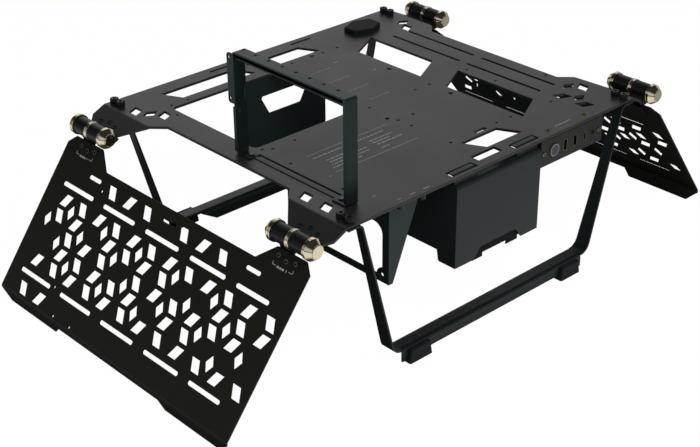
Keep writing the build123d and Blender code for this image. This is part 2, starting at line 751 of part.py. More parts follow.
# Card frame: one strap bent into a frame, with a channel under its top for the card screws
with BuildPart() as card_frame:
    with BuildSketch(Plane.YZ.offset(card_x[0])):
        with BuildLine():
            FilletPolyline(
                (card_y[0] + card_foot, plate_top),
                (card_y[0], plate_top),
                (card_y[0], card_top),
                (card_y[1], card_top),
                (card_y[1], plate_top),
                (card_y[1] - card_foot, plate_top),
                radius=card_bend_r,
            )
            offset(amount=frame_t, side=Side.RIGHT)
        make_face()
    extrude(amount=card_x[1] - card_x[0])
    with BuildSketch(Plane.XY.offset(plate_top)):
        with Locations((card_rail_x, card_middle_y)):
            Rectangle(card_rail_w, card_y[1] - card_y[0] - 2 * card_foot + 1)
    extrude(amount=frame_t / 2)
    with BuildSketch(Plane.XZ.offset(-card_y[0] - frame_t)):
        with BuildLine():
            FilletPolyline(
                (card_x[1], card_top - frame_t / 2),
                (card_x[1], card_top - card_channel_h),
                (card_x[0] + frame_t, card_top - card_channel_h),
                radius=card_bend_r,
            )
            offset(amount=frame_t, side=Side.RIGHT)
        make_face()
    extrude(amount=-(card_y[1] - card_y[0] - 2 * frame_t))
    with BuildSketch(Plane.YZ.offset(card_x[0])):
        with Locations(((card_y[1] - frame_t + card_ear_y) / 2, (card_ear_z[0] + card_ear_z[1]) / 2)):
            RectangleRounded(card_ear_y - card_y[1] + frame_t, card_ear_z[1] - card_ear_z[0], 3)
        with Locations((card_y[1] - frame_t, plate_top + 2.5)):
            Rectangle(card_lip, card_ear_z[0] - plate_top - 6, align=Align.MIN)
        with Locations((card_y[0], plate_top + 2.5)):
            Rectangle(card_lip, card_top - plate_top - 4, align=Align.MIN)
        with Locations(*[(card_ear_y - 3, z) for z in (card_ear_z[0] + 5, card_ear_z[1] - 5)]):
            Circle(board_hole_r, mode=Mode.SUBTRACT)
    extrude(amount=frame_t)
    with BuildSketch(Plane.XY.offset(card_top)):
        card_holes = [card_hole_first - card_hole_pitch * step for step in range(card_hole_count)]
        with Locations(*[(card_hole_x, y) for y in card_holes]):
            Circle(card_hole_r)
    extrude(amount=-card_channel_h, mode=Mode.SUBTRACT)
    with BuildSketch(Plane.XZ.offset(-card_y[1])):
        with Locations((card_x[0] + 6.5, plate_top + 48)):
            Circle(board_hole_r)
        with Locations((card_x[1] - 2, plate_top + 65)):
            SlotOverall(15, 1.6, rotation=90)
    extrude(amount=2 * frame_t, mode=Mode.SUBTRACT)
    with BuildSketch(Plane.XY.offset(plate_top)):
        with Locations(*card_foot_screws):
            Circle(rivet_r + slip)
    extrude(amount=2 * frame_t, mode=Mode.SUBTRACT)
    with BuildSketch(Plane.XY.offset(card_top - card_channel_h)):
        with Locations(*[(card_x[0] + 6, y) for y in card_hanging_screws]):
            Circle(rivet_r + slip)
    extrude(amount=frame_t, mode=Mode.SUBTRACT)
save(card_frame, "card_frame")
with BuildPart() as card_frame_screws:
    with BuildSketch(Plane.XY.offset(plate_top + frame_t)):
        with Locations(*card_foot_screws):
            Circle(3.2)
    extrude(amount=1.4)
    with BuildSketch(Plane.XY.offset(plate_top + frame_t)):
        with Locations(*card_foot_screws):
            Circle(rivet_r)
    extrude(amount=-frame_t - plate_t)
    with BuildSketch(Plane.XY.offset(card_top - card_channel_h)):
        with Locations(*[(card_x[0] + 6, y) for y in card_hanging_screws]):
            Circle(3.0)
    extrude(amount=-2)
    with BuildSketch(Plane.XY.offset(card_top - card_channel_h)):
        with Locations(*[(card_x[0] + 6, y) for y in card_hanging_screws]):
            Circle(rivet_r)
    extrude(amount=frame_t)
save(card_frame_screws, "card_frame_screws")

# Side bracket: an upright frame under the left edge, with a flange above and a gusset at the front
with BuildPart() as side_bracket:
    bottom = plate_under - side_h
    window_y = (side_y[0] + side_rail, side_y[1] - side_rail)
    window_z = (bottom + side_bottom_rail, plate_under - side_top_rail)
    with BuildSketch(Plane.YZ.offset(side_x)):
        with Locations(((side_y[0] + side_y[1]) / 2, (bottom + plate_under) / 2)):
            Rectangle(side_y[1] - side_y[0], side_h)
        with Locations(((window_y[0] + window_y[1]) / 2, (window_z[0] + window_z[1]) / 2)):
            size = (window_y[1] - window_y[0], window_z[1] - window_z[0])
            RectangleRounded(*size, side_corner_r, mode=Mode.SUBTRACT)
        with Locations(side_lug):
            Circle(side_lug_r)
            Circle(side_lug_hole_r, mode=Mode.SUBTRACT)
    extrude(amount=frame_t)
    with BuildSketch(Plane.XY.offset(plate_under)):
        with Locations((side_x, side_y[0])):
            Rectangle(side_flange, side_y[1] - side_y[0], align=Align.MIN)
    extrude(amount=-frame_t)
    with BuildSketch(Plane.XZ.offset(-side_y[0])):
        Polygon(
            (side_x, plate_under),
            (side_x + gusset_w, plate_under),
            (side_x + gusset_tip, bottom),
            (side_x, bottom),
            align=None,
        )
    extrude(amount=-frame_t)
save(side_bracket, "side_bracket")
with BuildPart() as side_bracket_screws:
    with BuildSketch(Plane.XY.offset(plate_under)):
        with Locations(*side_screws):
            Circle(3.6)
    extrude(amount=-6)
    chamfer(side_bracket_screws.edges().group_by(Axis.Z)[0], 1)
    with BuildSketch(Plane.XY.offset(plate_under)):
        with Locations(*side_screws):
            Circle(rivet_r)
    extrude(amount=plate_t)
save(side_bracket_screws, "side_bracket_screws")

# Rear hanging panel with one slanted window, held by a flange under the plate
with BuildPart() as hanging_panel:
    with BuildSketch(Plane.XZ.offset(-panel_y)):
        with BuildLine():
            FilletPolyline(
                (panel_x[0], plate_under),
                (panel_x[1], plate_under),
                (panel_x[1], plate_under - panel_h),
                (panel_x[0], plate_under - panel_h),
                radius=(0, 0, 6, 6),
                close=True,
            )
        make_face()
        with BuildLine():
            FilletPolyline(
                (-43, plate_top - 27),
                (10, plate_top - 27),
                (27, plate_top - 37),
                (19, plate_top - 51),
                (-30, plate_top - 51),
                radius=2.5,
                close=True,
            )
        make_face(mode=Mode.SUBTRACT)
    extrude(amount=-frame_t)
    with BuildSketch(Plane.XY.offset(plate_under)):
        with Locations((panel_x[0], panel_y)):
            Rectangle(panel_x[1] - panel_x[0], panel_flange, align=Align.MIN)
        with Locations(*panel_screw_points):
            Circle(rivet_r + slip, mode=Mode.SUBTRACT)
    extrude(amount=-frame_t)
save(hanging_panel, "hanging_panel")
plate_plane = Plane.XY.offset(plate_top)
panel_screws = drilled_screws([plate_plane], panel_screw_points, 2.6, 0.8, rivet_r, plate_t + frame_t)
save(panel_screws, "hanging_panel_screws")

# Rail under the plate beside the right openings: a sheet bent down from a flange, with a diamond cut
with BuildPart() as drive_rail:
    with BuildSketch(Plane.YZ.offset(rail_x)):
        with BuildLine():
            FilletPolyline(
                (rail_y[0], plate_under),
                (rail_y[1], plate_under),
                (rail_y[1], plate_under - rail_h),
                (rail_y[0], plate_under - rail_h),
                radius=(0, 0, rail_corner_r, rail_corner_r),
                close=True,
            )
        make_face()
        with Locations(*[(y, rail_hole_z) for y in rail_hole_y]):
            Circle(board_hole_r, mode=Mode.SUBTRACT)
        with Locations((rail_diamond[0], rail_hole_z)):
            half_y, half_z = rail_diamond[1] / 2, rail_diamond[2] / 2
            corners = ((-half_y, 0), (0, half_z), (half_y, 0), (0, -half_z))
            Polygon(*corners, align=None, mode=Mode.SUBTRACT)
    extrude(amount=frame_t)
    with BuildSketch(Plane.XY.offset(plate_under)):
        with Locations((rail_x + frame_t, rail_y[0])):
            Rectangle(rail_flange, rail_y[1] - rail_y[0], align=(Align.MAX, Align.MIN))
    extrude(amount=-frame_t)
save(drive_rail, "drive_rail")

# Power supply cover: a front sheet rolled back at the top, a stepped wall on the left, a narrow
# return on the right and two hooks
with BuildPart() as power_supply_cover:
    with BuildSketch(Plane.YZ.offset(cover_x[0])):
        with BuildLine():
            FilletPolyline(
                (cover_y[0] + cover_lip, cover_top),
                (cover_y[0], cover_top),
                (cover_y[0], cover_bottom),
                radius=cover_roll_r,
            )
            offset(amount=cover_t, side=Side.LEFT)
        make_face()
    extrude(amount=cover_x[1] - cover_x[0])
    with BuildSketch(Plane.YZ.offset(cover_x[0])):
        with BuildLine():
            FilletPolyline(
                (cover_y[0], cover_top),
                (cover_y[0], cover_bottom),
                (cover_step_y, cover_bottom),
                (cover_step_y + 2, cover_bottom + cover_step),
                (cover_y[1], cover_bottom + cover_step),
                (cover_y[1], cover_top),
                radius=(cover_roll_r, 0, 2, 2, 4, 4),
                close=True,
            )
        make_face()
    extrude(amount=cover_t)
    with BuildSketch(Plane.YZ.offset(cover_x[1])):
        with BuildLine():
            FilletPolyline(
                (cover_y[0], cover_top),
                (cover_y[0], cover_bottom),
                (cover_y[0] + cover_return, cover_bottom),
                (cover_y[0] + cover_return, cover_top),
                radius=(cover_roll_r, 0, 2, 0),
                close=True,
            )
        make_face()
    extrude(amount=-cover_t)
    with BuildSketch(Plane.XZ.offset(-cover_y[0])):
        with BuildLine():
            FilletPolyline(
                (notch_x[0], cover_bottom - 1),
                (notch_x[0] + notch_lean, cover_bottom + notch_h),
                (notch_x[1] - notch_lean, cover_bottom + notch_h),
                (notch_x[1], cover_bottom - 1),
                radius=(0, 4, 4, 0),
                close=True,
            )
        make_face()
    extrude(amount=-2 * cover_t, mode=Mode.SUBTRACT)
    for x in hook_x:
        with BuildSketch(Plane.YZ.offset(x - hook_width / 2)):
            with BuildLine():
                FilletPolyline(
                    (hook_riser_y, cover_top - cover_t / 2),
                    (hook_riser_y, hook_top),
                    (hook_end_y, hook_top),
                    radius=hook_roll_r,
                )
                offset(amount=cover_t, side=Side.RIGHT)
            make_face()
        extrude(amount=hook_width)
save(power_supply_cover, "power_supply_cover")

# Power supply cradle: a bent tray between the cover's walls, with a front lip on two short feet
with BuildPart() as power_supply_cradle:
    cradle_front = cover_y[0] + cover_t + 1
    left, right = cover_x[0] + cover_t, cover_x[1] - cover_t
    with BuildSketch(Plane.XZ.offset(-cradle_front)):
        with BuildLine():
            FilletPolyline(
                (left, cradle_floor + cradle_wall),
                (left, cradle_floor),
                (right, cradle_floor),
                (right, cradle_floor + cradle_low_wall),
                radius=cover_bend_r,
            )
            offset(amount=cover_t, side=Side.LEFT)
        make_face()
    extrude(amount=-(cover_y[1] - cradle_front - 4))
    with BuildSketch(Plane.XZ.offset(-cradle_front)):
        with Locations((cover_middle, cradle_floor + cover_t)):
            Rectangle(right - left - 4 * cover_bend_r, cradle_lip, align=(Align.CENTER, Align.MAX))
        for x, width in cradle_tabs:
            with Locations((x, cradle_floor)):
                Rectangle(width, cradle_lip + cradle_tab, align=(Align.CENTER, Align.MAX))
    extrude(amount=-cover_t)
save(power_supply_cradle, "power_supply_cradle")

# Port panel: a sheet bent down from under the plate, closed at both ends
front_plane = Plane((0, port_y, 0), (1, 0, 0), (0, -1, 0))
with BuildPart() as port_panel:
    with BuildSketch(Plane.YZ.offset(port_x[0])):
        with BuildLine():
            FilletPolyline(
                (port_y + port_flange, plate_under),
                (port_y, plate_under),
                (port_y, plate_under - port_h),
                radius=cover_bend_r,
            )
            offset(amount=cover_t, side=Side.LEFT)
        make_face()
    extrude(amount=port_x[1] - port_x[0])
    for x in (port_x[0], port_x[1] - cover_t):
        with BuildSketch(Plane.YZ.offset(x)):
            with Locations((port_y + cover_bend_r, plate_under - cover_t / 2)):
                Rectangle(port_flange - cover_bend_r, port_h - cover_t / 2, align=(Align.MIN, Align.MAX))
            with Locations((port_y + cover_t / 2, plate_under - cover_bend_r)):
                Rectangle(port_flange / 2, port_h - cover_bend_r, align=(Align.MIN, Align.MAX))
        extrude(amount=cover_t)
    with BuildSketch(front_plane):
        with Locations((button_x, port_z)):
            Circle(button_r + joint_gap)
        with Locations(*[(x, port_z) for x in usb_a_x]):
            Rectangle(usb_a[0] + 2 * slip, usb_a[1] + 2 * slip)
        with Locations((usb_c_x, port_z)):
            SlotOverall(usb_c[1] + 2 * slip, usb_c[0] + 2 * slip, rotation=90)
        with Locations((jack_x, port_z)):
            Circle(jack_r + slip)
        with Locations(*[(x, port_z) for x in port_screw_x]):
            Circle(rivet_r + slip)
    extrude(amount=-2 * cover_t, mode=Mode.SUBTRACT)
    with BuildSketch(Plane.XY.offset(plate_under)):
        with Locations(*rivets[:2]):
            Circle(rivet_r + slip)
    extrude(amount=-2 * cover_t, mode=Mode.SUBTRACT)
save(port_panel, "port_panel")

# Circuit board behind the ports
board_plane = front_plane.offset(-cover_t - port_depth)
with BuildPart() as port_board:
    with BuildSketch(board_plane):
        with Locations((port_board_x[0], plate_under - cover_t)):
            Rectangle(port_board_x[1] - port_board_x[0], port_h - 3, align=(Align.MIN, Align.MAX))
    extrude(amount=-port_board_t)
save(port_board, "port_board")

# Power button: a round cap held behind the panel by its rim, free to move in
with BuildPart() as power_button:
    with BuildSketch(front_plane.offset(button_out)):
        with Locations((button_x, port_z)):
            Circle(button_r)
    extrude(amount=-button_out - cover_t - 2 * joint_gap)
    chamfer(power_button.edges().group_by(Axis.Y)[0], 0.6)
    with BuildSketch(front_plane.offset(-cover_t - joint_gap)):
        with Locations((button_x, port_z)):
            Circle(button_r + 1)
    extrude(amount=-1.5)
    with BuildSketch(front_plane.offset(-cover_t - joint_gap)):
        with Locations((button_x, port_z)):
            Circle(button_r / 3)
    extrude(amount=-(port_depth - 2 * joint_gap - 2 * button_travel))
save(power_button, "power_button")

# Ports: metal shells with a contact tongue inside, and a round audio jack
port_length = joint_gap + cover_t + port_depth
with BuildPart() as usb_a_ports:
    places = [(x, port_z) for x in usb_a_x]
    with BuildSketch(front_plane.offset(joint_gap)):
        with Locations(*places):
            Rectangle(*usb_a)
    extrude(amount=-port_length)
    with BuildSketch(front_plane.offset(joint_gap)):
        with Locations(*places):
            Rectangle(usb_a[0] - 2 * usb_wall, usb_a[1] - 2 * usb_wall)
    extrude(amount=-port_length + 2, mode=Mode.SUBTRACT)
    with BuildSketch(board_plane):
        with Locations(*[(x - 0.8, z) for x, z in places]):
            Rectangle(1.9, usb_a[1] - 4 * usb_wall)
    extrude(amount=port_length - 2)
save(usb_a_ports, "usb_a_ports")
with BuildPart() as usb_c_port:
    with BuildSketch(front_plane.offset(joint_gap)):
        with Locations((usb_c_x, port_z)):
            SlotOverall(usb_c[1], usb_c[0], rotation=90)
    extrude(amount=-port_length)
    with BuildSketch(front_plane.offset(joint_gap)):
        with Locations((usb_c_x, port_z)):
            SlotOverall(usb_c[1] - 2 * usb_wall, usb_c[0] - 2 * usb_wall, rotation=90)
    extrude(amount=-port_length + 2, mode=Mode.SUBTRACT)
    with BuildSketch(board_plane):
        with Locations((usb_c_x, port_z)):
            Rectangle(0.8, usb_c[1] - 6 * usb_wall)
    extrude(amount=port_length - 2)
save(usb_c_port, "usb_c_port")
with BuildPart() as audio_jack:
    with BuildSketch(front_plane.offset(joint_gap)):
        with Locations((jack_x, port_z)):
            Circle(jack_r)
    extrude(amount=-port_length)
    with BuildSketch(front_plane.offset(joint_gap)):
        with Locations((jack_x, port_z)):
            Circle(jack_bore_r)
    extrude(amount=-port_length + 2, mode=Mode.SUBTRACT)
save(audio_jack, "audio_jack")

# Screws of the port panel, and the rivets that hold it to the plate
port_screw_points = [(x, port_z) for x in port_screw_x]
port_screws = drilled_screws([front_plane], port_screw_points, 2.6, 1.0, rivet_r, cover_t + 3)
save(port_screws, "port_screws")
panel_rivets = drilled_screws([plate_plane], rivets, rivet_head_r, rivet_head_h, rivet_r, plate_t)
with BuildPart() as rivet_set:
    add(panel_rivets.part)
    with BuildSketch(Plane.XY.offset(plate_under)):
        with Locations(*rivets[:2]):
            Circle(rivet_r)
    extrude(amount=-cover_t)
save(rivet_set, "rivets")

# Six-sided puck with rounded corners and a bevelled top
with BuildPart() as puck:
    with BuildSketch(Plane.XY.offset(plate_top)) as outline:
        with Locations(puck_xy):
            Polygon(
                (0, puck_half_y),
                (-puck_half_x, puck_side_y),
                (-puck_half_x, -puck_side_y),
                (0, -puck_half_y),
                (puck_half_x, -puck_side_y),
                (puck_half_x, puck_side_y),
                align=None,
            )
        fillet(outline.vertices(), puck_corner_r)
    extrude(amount=puck_h)
    chamfer(puck.edges().group_by(Axis.Z)[-1], puck_bevel)
save(puck, "puck")
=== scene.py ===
import math

import bmesh
import bpy
import numpy as np
from mathutils import Matrix, Vector


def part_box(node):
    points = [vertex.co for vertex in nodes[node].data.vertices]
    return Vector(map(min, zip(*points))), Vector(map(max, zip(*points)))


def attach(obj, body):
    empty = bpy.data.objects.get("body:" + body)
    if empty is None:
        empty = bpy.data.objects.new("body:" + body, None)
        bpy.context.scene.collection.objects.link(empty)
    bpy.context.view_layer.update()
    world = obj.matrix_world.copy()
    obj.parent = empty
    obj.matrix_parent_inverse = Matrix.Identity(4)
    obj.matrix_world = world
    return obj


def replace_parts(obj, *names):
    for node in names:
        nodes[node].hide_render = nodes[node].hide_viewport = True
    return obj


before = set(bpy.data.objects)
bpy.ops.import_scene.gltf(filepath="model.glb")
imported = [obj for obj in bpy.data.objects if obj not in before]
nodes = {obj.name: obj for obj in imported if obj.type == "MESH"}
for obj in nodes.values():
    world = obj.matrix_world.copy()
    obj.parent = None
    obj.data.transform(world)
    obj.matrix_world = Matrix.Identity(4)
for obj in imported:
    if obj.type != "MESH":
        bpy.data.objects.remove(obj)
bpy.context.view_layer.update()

scene = bpy.context.scene
scene.view_settings.view_transform = "Standard"


# Camera: a long lens above and left of the front edge, where the photograph was taken. Its heading is
# measured from +Y towards +X, its dip below the horizon, and it leans by less than half a degree.
heading, dip, lean = math.radians(42.708), math.radians(28.622), math.radians(-0.458)
camera_place = (-1.0213, -1.0732, 0.8418)
picture_width_px, focal_length_px = 700.0, 1436.83
sight = Vector((math.sin(heading) * math.cos(dip), math.cos(heading) * math.cos(dip), -math.sin(dip)))
across = Vector((math.cos(heading), -math.sin(heading), 0.0))
upward = across.cross(sight)
right = across * math.cos(lean) + upward * math.sin(lean)
top = upward * math.cos(lean) - across * math.sin(lean)
lens = bpy.data.cameras.new("camera")
lens.sensor_width = 36.0
lens.sensor_fit = "HORIZONTAL"
lens.lens = focal_length_px / picture_width_px * lens.sensor_width
lens.clip_end = 50.0
camera = bpy.data.objects.new("camera", lens)
turn = Matrix((right, top, -sight)).transposed().to_4x4()
camera.matrix_world = Matrix.Translation(camera_place) @ turn
scene.collection.objects.link(camera)
scene.camera = camera


# Studio: a soft lamp above the camera, a room and a pale floor. The lamp lights the paint but isn't
# mirrored in it. Paint and metal mirror a white wall behind on the right, dim grey walls elsewhere, and
# a floor that is bright round the object and dimmer on its right, with a painted shadow under the object
# and behind it.
def number(tree, operation, *terms):
    """A number worked out of its terms by one operation; each term is a fixed number or a node's output."""
    node = tree.nodes.new("ShaderNodeMath")
    node.operation = operation
    for socket, term in zip(node.inputs, terms):
        if isinstance(term, bpy.types.NodeSocket):
            tree.links.new(term, socket)
        else:
            socket.default_value = term
    return node.outputs[0]


def vector(tree, operation, first, second, output="Vector"):
    """A vector, or its "Value", worked out of a node's output and a second output or fixed vector."""
    node = tree.nodes.new("ShaderNodeVectorMath")
    node.operation = operation
    tree.links.new(first, node.inputs[0])
    if isinstance(second, bpy.types.NodeSocket):
        tree.links.new(second, node.inputs[1])
    else:
        node.inputs[1].default_value = second
    return node.outputs[output]


def split(tree, source):
    """The X, Y and Z of a vector."""
    node = tree.nodes.new("ShaderNodeSeparateXYZ")
    tree.links.new(source, node.inputs[0])
    return node.outputs


def fade(tree, value, start, end, before, after, run="SMOOTHSTEP"):
    """A level that is before up to start and after from end on, with a smooth or a LINEAR run between."""
    node = tree.nodes.new("ShaderNodeMapRange")
    node.interpolation_type = run
    for name, level in (("From Min", start), ("From Max", end), ("To Min", before), ("To Max", after)):
        node.inputs[name].default_value = level
    tree.links.new(value, node.inputs["Value"])
    return node.outputs["Result"]


def shaders_mixed(tree, share, first, second, output):
    """Of two shaders, share of the second and the rest of the first, joined to the tree's output."""
    node = tree.nodes.new("ShaderNodeMixShader")
    tree.links.new(share, node.inputs[0])
    tree.links.new(first.outputs[0], node.inputs[1])
    tree.links.new(second.outputs[0], node.inputs[2])
    tree.links.new(node.outputs[0], output.inputs[0])


lamp_place, lamp_aim = Vector((-0.6, -2.0, 2.6)), Vector((0.0, 0.0, 0.1))
lamp_light = bpy.data.lights.new("lamp_front", "AREA")
lamp_light.shape = "RECTANGLE"
lamp_light.size, lamp_light.size_y = 1.8, 1.4
lamp_light.energy = 95.0
lamp = bpy.data.objects.new("lamp_front", lamp_light)
lamp_facing = (lamp_aim - lamp_place).to_track_quat("-Z", "Y")
lamp.matrix_world = Matrix.Translation(lamp_place) @ lamp_facing.to_matrix().to_4x4()
lamp.visible_glossy = False
scene.collection.objects.link(lamp)

room_level = 0.20
white_wall, left_wall = (0.52, 0.78, 0.35), (-0.90, 0.35, 0.25)
room = bpy.data.worlds.new("room")
scene.world = room
room.use_nodes = True
tree = room.node_tree
ray = tree.nodes.new("ShaderNodeLightPath").outputs
towards = tree.nodes.new("ShaderNodeTexCoord").outputs["Generated"]
compass = split(tree, towards)
mirrored = number(tree, "MAXIMUM", ray["Is Glossy Ray"], ray["Is Transmission Ray"])
facing_white = vector(tree, "DOT_PRODUCT", towards, white_wall, "Value")
white_spread = fade(tree, facing_white, start=0.82, end=0.985, before=0.0, after=1.0)
white_mirrored = number(tree, "MULTIPLY", mirrored, white_spread)
shown_white = number(tree, "MAXIMUM", ray["Is Camera Ray"], white_mirrored)
ceiling = fade(tree, compass["Z"], start=0.30, end=0.52, before=-0.03, after=-0.17, run="LINEAR")
facing_left = vector(tree, "DOT_PRODUCT", towards, left_wall, "Value")
left_glow = fade(tree, facing_left, start=0.84, end=1.0, before=0.0, after=0.38)
grey_walls = fade(tree, compass["Y"], start=0.15, end=0.45, before=0.40, after=0.0)
wall_height = fade(tree, compass["Z"], start=0.35, end=0.60, before=1.0, after=0.0)
round_room = number(tree, "MULTIPLY_ADD", grey_walls, wall_height, number(tree, "ADD", ceiling, left_glow))
dim = tree.nodes["Background"]
dim.inputs["Color"].default_value = (1, 1, 1, 1)
tree.links.new(number(tree, "MULTIPLY_ADD", mirrored, round_room, room_level), dim.inputs["Strength"])
white = tree.nodes.new("ShaderNodeBackground")
white.inputs["Color"].default_value = (1, 1, 1, 1)
shaders_mixed(tree, shown_white, dim, white, tree.nodes["World Output"])

floor_reach = 6.0
floor_colour, floor_seen_white = 0.82, 0.99
shade_left, shade_right, shade_front, shade_back = 0.38, 0.38, 0.19, 0.36
floor_mesh = bpy.data.meshes.new("floor")
floor_mesh.from_pydata([(-floor_reach, -floor_reach, 0), (floor_reach, -floor_reach, 0),
                        (floor_reach, floor_reach, 0), (-floor_reach, floor_reach, 0)], [], [(0, 1, 2, 3)])
floor = bpy.data.objects.new("floor", floor_mesh)
scene.collection.objects.link(floor)
floor_white = bpy.data.materials.new("floor_white")
floor_white.use_nodes = True
tree = floor_white.node_tree
tree.nodes.clear()
ray = tree.nodes.new("ShaderNodeLightPath").outputs
place = tree.nodes.new("ShaderNodeTexCoord").outputs["Object"]
# Painted shadow: the floor that paint and metal mirror glows low in a box under the object and behind it, where its
# shadow falls, and high in the clear round it. The glow fades far off and is dimmer on the right.
left_and_front = vector(tree, "DIVIDE", place, (-shade_left, -shade_front, 1.0))
right_and_back = vector(tree, "DIVIDE", place, (shade_right, shade_back, 1.0))
apart = split(tree, vector(tree, "MAXIMUM", left_and_front, right_and_back))
furthest = number(tree, "MAXIMUM", apart["X"], apart["Y"])
clear_of_painted_shadow = fade(tree, furthest, start=0.95, end=1.3, before=0.05, after=0.85)
far_off = fade(tree, furthest, start=3.0, end=4.5, before=1.0, after=0.1)
on_the_right = fade(tree, split(tree, place)["X"], start=0.34, end=0.46, before=1.0, after=0.4)
mirror_level = number(tree, "MULTIPLY", number(tree, "MULTIPLY", clear_of_painted_shadow, far_off), on_the_right)
mirrored = number(tree, "MAXIMUM", ray["Is Glossy Ray"], ray["Is Transmission Ray"])
glow = tree.nodes.new("ShaderNodeEmission")
glow_level = number(tree, "MULTIPLY_ADD", mirrored, mirror_level, ray["Is Camera Ray"])
tree.links.new(glow_level, glow.inputs["Strength"])
seen = number(tree, "MULTIPLY", ray["Is Camera Ray"], floor_seen_white)
matt = tree.nodes.new("ShaderNodeBsdfDiffuse")
matt.inputs["Color"].default_value = (floor_colour, floor_colour, floor_colour, 1)
floor_output = tree.nodes.new("ShaderNodeOutputMaterial")
shaders_mixed(tree, number(tree, "MAXIMUM", seen, mirrored), matt, glow, floor_output)
floor_mesh.materials.append(floor_white)


def bare_paint(name):
    """A new material, its node tree, its shader, and the place on a piece that its patterns follow."""
    paint = bpy.data.materials.new(name)
    paint.use_nodes = True
    tree = paint.node_tree
    return paint, tree, tree.nodes["Principled BSDF"], tree.nodes.new("ShaderNodeTexCoord").outputs["Object"]


def noise(tree, place, scale, detail):
    """The strength, from 0 to 1, of a noise with scale waves to the metre and detail finer layers on it."""
    node = tree.nodes.new("ShaderNodeTexNoise")
    node.inputs["Scale"].default_value = scale
    node.inputs["Detail"].default_value = detail
    tree.links.new(place, node.inputs["Vector"])
    return node.outputs["Fac"]


def tinted(tree, share, colour, low, high):
    """The colour times low where share is 0, times high where it is 1, and straight between."""
    node = tree.nodes.new("ShaderNodeMix")
    node.data_type = "RGBA"
    node.inputs["A"].default_value = (*[c * low for c in colour], 1)
    node.inputs["B"].default_value = (*[c * high for c in colour], 1)
    tree.links.new(share, node.inputs["Factor"])
    return node.outputs["Result"]


def bumped(tree, height, strength, distance):
    """A node that tilts the normal by strength times the slope of a height, distance metres at the most."""
    node = tree.nodes.new("ShaderNodeBump")
    node.inputs["Strength"].default_value = strength
    node.inputs["Distance"].default_value = distance
    tree.links.new(height, node.inputs["Height"])
    return node


def powder_coat(name, colour, roughness, gloss, grain=0.00045, edge=0.0009, tone=(1, 1, 1)):
    """Satin coat: a slow noise moves its roughness and tint, a fine noise and rounded edges its normal."""
    paint, tree, shader, place = bare_paint(name)
    shader.inputs["Specular IOR Level"].default_value = gloss
    shader.inputs["Specular Tint"].default_value = (*tone, 1)
    slow = noise(tree, place, scale=14.0, detail=4.0)
    smoother, rougher = roughness - 0.02, roughness + 0.03
    satin = fade(tree, slow, start=0.3, end=0.7, before=smoother, after=rougher, run="LINEAR")
    tree.links.new(satin, shader.inputs["Roughness"])
    tree.links.new(tinted(tree, slow, colour, low=0.85, high=1.2), shader.inputs["Base Color"])
    round_edge = tree.nodes.new("ShaderNodeBevel")
    round_edge.samples = 4
    round_edge.inputs["Radius"].default_value = edge
    bump = bumped(tree, noise(tree, place, scale=1.0 / grain, detail=2.0), strength=0.12, distance=0.0001)
    tree.links.new(round_edge.outputs["Normal"], bump.inputs["Normal"])
    tree.links.new(bump.outputs["Normal"], shader.inputs["Normal"])
    return paint


def finish(paint, *names):
    """The CAD nodes with these names get this material and no other."""
    for name in names:
        slots = nodes[name].data.materials
        slots.clear()
        slots.append(paint)


plate_coat = powder_coat("plate_coat", (0.0100, 0.0104, 0.0100), roughness=0.42, gloss=0.42)
finish(plate_coat, "base_plate")


# Print on the base plate: thin pale ink, screen printed. Rules that end in a dot mark the board sizes,
# two longer rules hold a block of small dashed lines, and short marks stand beside some holes.
def new_piece(name, shapes, paint, body, crease=35):
    """One mesh in its place from several (points, faces): doubles merged, normals outward, and edges
    sharp where two faces meet at more than crease degrees."""
    firsts = np.cumsum([0] + [points.size // 3 for points, _ in shapes])
    points = np.concatenate([points.reshape(-1, 3) for points, _ in shapes])
    faces = np.concatenate([faces.reshape(-1, 4) + first for (_, faces), first in zip(shapes, firsts)])
    mesh = bpy.data.meshes.new(name)
    mesh.from_pydata(points.tolist(), [], faces.tolist())
    shape = bmesh.new()
    shape.from_mesh(mesh)
    bmesh.ops.remove_doubles(shape, verts=shape.verts, dist=1e-7)
    bmesh.ops.recalc_face_normals(shape, faces=shape.faces)
    shape.to_mesh(mesh)
    shape.free()
    mesh.shade_smooth()
    mesh.set_sharp_from_angle(angle=math.radians(crease))
    mesh.materials.append(paint)
    piece = bpy.data.objects.new(name, mesh)
    scene.collection.objects.link(piece)
    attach(piece, body)
    return piece


def ink_strips(strips, origin, along, aside, out, thick=0.00004):
    """Thin closed slabs on a face: each strip is (start, side, length, width) in millimetres, its eight
    corners are origin + along * a + aside * b + out * height, for both ends, both sides and two heights."""
    strips = np.asarray(strips, float) / 1000.0
    a = np.stack([strips[:, 0], strips[:, 0] + strips[:, 2]], 1)
    b = np.stack([strips[:, 1] - strips[:, 3] / 2, strips[:, 1] + strips[:, 3] / 2], 1)
    order_a, order_b = np.array([0, 1, 1, 0]), np.array([0, 0, 1, 1])
    flat = a[:, order_a, None] * np.asarray(along) + b[:, order_b, None] * np.asarray(aside)
    lift = np.asarray(out)
    points = np.concatenate([flat - lift * thick / 4, flat + lift * thick], 1) + np.asarray(origin)
    box = np.array([(3, 2, 1, 0), (4, 5, 6, 7), (0, 1, 5, 4), (1, 2, 6, 5), (2, 3, 7, 6), (3, 0, 4, 7)])
    return points, box + 8 * np.arange(len(strips))[:, None, None]


def ink(name, colour):
    """Printed ink: a pale matt colour that a fine noise wears thin in places."""
    paint, tree, shader, place = bare_paint(name)
    shader.inputs["Roughness"].default_value = 0.5
    worn = noise(tree, place, scale=900.0, detail=3.0)
    tree.links.new(tinted(tree, worn, colour, low=0.45, high=1.0), shader.inputs["Base Color"])
    return paint


def dashes(start, end, side, height, draw, most=40, gap=1.3):
    """One printed line of dashes from start to end: lengths drawn evenly from 2 to 7 mm, equal gaps."""
    lengths = draw.uniform(2.0, 7.0, most)
    starts = start + np.concatenate([[0.0], np.cumsum(lengths + gap)[:-1]])
    kept = starts + lengths < end
    return np.stack([starts, np.full(most, side), lengths, np.full(most, height)], 1)[kept]


